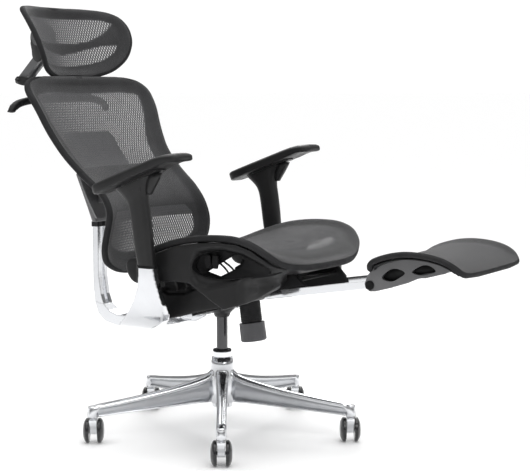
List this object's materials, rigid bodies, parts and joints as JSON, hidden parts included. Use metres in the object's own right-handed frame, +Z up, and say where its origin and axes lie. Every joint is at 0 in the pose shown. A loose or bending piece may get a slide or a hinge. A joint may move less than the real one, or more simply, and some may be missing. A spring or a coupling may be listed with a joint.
{
  "type": "reclining office chair",
  "caption": "Mesh-covered reclining task chair with a head support, adjustable arms, a sliding fold-down footrest and a five-star caster base",
  "frame": {"origin": "on the floor, on the swivel axis of the base", "axes": "+Z up, the sitter faces -Y, the sitter's left hand is +X"},
  "size_m": [0.7105, 1.375, 1.0725],
  "materials": {
    "base_alloy": "polished die casting",
    "tube_chrome": "plated tube",
    "bushing": "moulded",
    "bearing_steel": "ground",
    "cylinder_black": "satin black",
    "housing_black": "powder coated",
    "boot_rubber": "ribbed",
    "knob_grey": "fluted",
    "caster_metal": "plated",
    "caster_black": "smooth",
    "yoke_alloy": "polished casting",
    "stem_steel": "drawn",
    "arm_plastic": "fine texture",
    "arm_pad": "soft moulded foam skin",
    "frame_plastic": "fine texture",
    "shell_grey": "fine texture",
    "mesh_fabric": "woven mesh",
    "rail_chrome": "plated flat bar",
    "cable_sheath": "smooth"
  },
  "bodies": {
    "base": {"star_base": "base_alloy", "column_tube": "tube_chrome", "column_bushing": "bushing", "thrust_bearing": "bearing_steel"},
    "spindle": {"piston_rod": "bearing_steel"},
    "mechanism": {"gas_cylinder": "cylinder_black", "mechanism_housing": "housing_black", "pivot_shafts": "bearing_steel", "spring_boot": "boot_rubber", "tension_spring": "bearing_steel"},
    "knob": {"tension_knob": "knob_grey"},
    "yoke": {"back_yoke": "yoke_alloy", "arm_support_left": "yoke_alloy", "arm_support_right": "yoke_alloy", "arm_stem_left": "stem_steel", "arm_stem_right": "stem_steel"},
    "backrest": {"spine_bushings": "bushing", "spine_cover": "shell_grey", "spine_plate": "shell_grey", "lumbar_support": "shell_grey", "back_rim": "frame_plastic", "back_mesh": "mesh_fabric", "top_bracket": "frame_plastic", "coat_hanger": "frame_plastic"},
    "headrest_arm": {"headrest_link": "shell_grey"},
    "headrest": {"headrest_carrier": "frame_plastic", "headrest_rim": "frame_plastic", "headrest_mesh": "mesh_fabric"},
    "seat": {"seat_rim": "frame_plastic", "seat_mesh": "mesh_fabric", "side_frame_left": "frame_plastic", "side_frame_right": "frame_plastic", "front_apron": "frame_plastic", "seat_carrier": "housing_black", "rail_guides": "frame_plastic", "control_cables": "cable_sheath"},
    "rails": {"footrest_rails": "rail_chrome"},
    "footrest": {"footrest_frame": "shell_grey", "footrest_rim": "frame_plastic", "footrest_mesh": "mesh_fabric"},
    "height_paddle": {"height_lever": "frame_plastic"},
    "recline_paddle": {"recline_lever": "frame_plastic"},
    "arm_post_right": {"arm_sleeve_right": "arm_plastic"},
    "arm_latch_right": {"arm_button_right": "arm_plastic"},
    "arm_swivel_right": {"arm_plate_right": "arm_plastic"},
    "arm_rest_right": {"arm_pad_right": "arm_pad"},
    "arm_post_left": {"arm_sleeve_left": "arm_plastic"},
    "arm_latch_left": {"arm_button_left": "arm_plastic"},
    "arm_swivel_left": {"arm_plate_left": "arm_plastic"},
    "arm_rest_left": {"arm_pad_left": "arm_pad"},
    "caster_1": {"caster_body_1": "caster_metal"},
    "wheels_1": {"caster_wheels_1": "caster_black"},
    "caster_2": {"caster_body_2": "caster_metal"},
    "wheels_2": {"caster_wheels_2": "caster_black"},
    "caster_3": {"caster_body_3": "caster_metal"},
    "wheels_3": {"caster_wheels_3": "caster_black"},
    "caster_4": {"caster_body_4": "caster_metal"},
    "wheels_4": {"caster_wheels_4": "caster_black"},
    "caster_5": {"caster_body_5": "caster_metal"},
    "wheels_5": {"caster_wheels_5": "caster_black"}
  },
  "joints": [
    {"name": "seat_swivel", "type": "hinge", "parent": "base", "child": "spindle", "pos_m": [0, 0, 0.1], "axis": [0, 0, 1], "continuous": true},
    {"name": "seat_height", "type": "slide", "parent": "spindle", "child": "mechanism", "axis": [0, 0, 1], "range_m": [-0.065, 0.02]},
    {"name": "recline", "type": "hinge", "parent": "mechanism", "child": "yoke", "pos_m": [0, 0.058, 0.338], "axis": [1, 0, 0], "range_deg": [0, 22]},
    {"name": "seat_tilt", "type": "hinge", "parent": "mechanism", "child": "seat", "pos_m": [0, -0.104, 0.359], "axis": [1, 0, 0], "range_deg": [0, 6.6]},
    {"name": "tension_turn", "type": "hinge", "parent": "mechanism", "child": "knob", "pos_m": [0, -0.08, 0.345], "axis": [0, -0.139, -0.9903], "range_deg": [-720, 720]},
    {"name": "back_height", "type": "slide", "parent": "yoke", "child": "backrest", "axis": [0, 0, 1], "range_m": [0, 0.05]},
    {"name": "headrest_reach", "type": "hinge", "parent": "backrest", "child": "headrest_arm", "pos_m": [0, 0.634, 0.882], "axis": [1, 0, 0], "range_deg": [-35, 0]},
    {"name": "headrest_tilt", "type": "hinge", "parent": "headrest_arm", "child": "headrest", "pos_m": [0, 0.57, 0.945], "axis": [1, 0, 0], "range_deg": [-25, 0]},
    {"name": "arm_height_right", "type": "slide", "parent": "yoke", "child": "arm_post_right", "axis": [0, 0, 1], "range_m": [0, 0.07]},
    {"name": "arm_release_right", "type": "slide", "parent": "arm_post_right", "child": "arm_latch_right", "axis": [1, 0, 0], "range_m": [0, 0.003], "stiffness_N_per_m": 400},
    {"name": "arm_pivot_right", "type": "hinge", "parent": "arm_post_right", "child": "arm_swivel_right", "pos_m": [-0.2855, 0.0257, 0.6545], "axis": [0, 0.3502, 0.9367], "range_deg": [-18, 18]},
    {"name": "arm_reach_right", "type": "slide", "parent": "arm_swivel_right", "child": "arm_rest_right", "axis": [0, -0.9367, 0.3502], "range_m": [-0.02, 0.025]},
    {"name": "arm_height_left", "type": "slide", "parent": "yoke", "child": "arm_post_left", "axis": [0, 0, 1], "range_m": [0, 0.07]},
    {"name": "arm_release_left", "type": "slide", "parent": "arm_post_left", "child": "arm_latch_left", "axis": [-1, 0, 0], "range_m": [0, 0.003], "stiffness_N_per_m": 400},
    {"name": "arm_pivot_left", "type": "hinge", "parent": "arm_post_left", "child": "arm_swivel_left", "pos_m": [0.2855, 0.0257, 0.6545], "axis": [0, 0.3502, 0.9367], "range_deg": [-18, 18]},
    {"name": "arm_reach_left", "type": "slide", "parent": "arm_swivel_left", "child": "arm_rest_left", "axis": [0, -0.9367, 0.3502], "range_m": [-0.02, 0.025]},
    {"name": "footrest_slide", "type": "slide", "parent": "seat", "child": "rails", "axis": [0, -0.9866, 0.1633], "range_m": [-0.118, 0]},
    {"name": "footrest_flip", "type": "hinge", "parent": "rails", "child": "footrest", "pos_m": [0, -0.484, 0.425], "axis": [1, 0, 0], "range_deg": [0, 168]},
    {"name": "height_pull", "type": "hinge", "parent": "seat", "child": "height_paddle", "pos_m": [-0.23, -0.138, 0.473], "axis": [1, 0, 0], "range_deg": [0, 10], "stiffness_Nm_per_rad": 0.4},
    {"name": "recline_pull", "type": "hinge", "parent": "seat", "child": "recline_paddle", "pos_m": [-0.23, -0.118, 0.473], "axis": [1, 0, 0], "range_deg": [0, 10], "stiffness_Nm_per_rad": 0.4},
    {"name": "caster_swivel_1", "type": "hinge", "parent": "base", "child": "caster_1", "pos_m": [-0.27676, -0.17973, 0.07], "axis": [0, 0, 1], "continuous": true},
    {"name": "wheel_roll_1", "type": "hinge", "parent": "caster_1", "child": "wheels_1", "pos_m": [-0.26837, -0.17428, 0.03], "axis": [0.5446, -0.8387, 0], "continuous": true},
    {"name": "caster_swivel_2", "type": "hinge", "parent": "base", "child": "caster_2", "pos_m": [0.08541, -0.31876, 0.07], "axis": [0, 0, 1], "continuous": true},
    {"name": "wheel_roll_2", "type": "hinge", "parent": "caster_2", "child": "wheels_2", "pos_m": [0.0938, -0.31331, 0.03], "axis": [0.5446, -0.8387, 0], "continuous": true},
    {"name": "caster_swivel_3", "type": "hinge", "parent": "base", "child": "caster_3", "pos_m": [0.32955, -0.01727, 0.07], "axis": [0, 0, 1], "continuous": true},
    {"name": "wheel_roll_3", "type": "hinge", "parent": "caster_3", "child": "wheels_3", "pos_m": [0.33793, -0.01182, 0.03], "axis": [0.5446, -0.8387, 0], "continuous": true},
    {"name": "caster_swivel_4", "type": "hinge", "parent": "base", "child": "caster_4", "pos_m": [0.11826, 0.30808, 0.07], "axis": [0, 0, 1], "continuous": true},
    {"name": "wheel_roll_4", "type": "hinge", "parent": "caster_4", "child": "wheels_4", "pos_m": [0.12665, 0.31353, 0.03], "axis": [0.5446, -0.8387, 0], "continuous": true},
    {"name": "caster_swivel_5", "type": "hinge", "parent": "base", "child": "caster_5", "pos_m": [-0.25646, 0.20768, 0.07], "axis": [0, 0, 1], "continuous": true},
    {"name": "wheel_roll_5", "type": "hinge", "parent": "caster_5", "child": "wheels_5", "pos_m": [-0.24807, 0.21312, 0.03], "axis": [0.5446, -0.8387, 0], "continuous": true}
  ],
  "couplings": [
    {"joint": "seat_tilt", "follows": "recline", "ratio": 0.3}
  ]
}
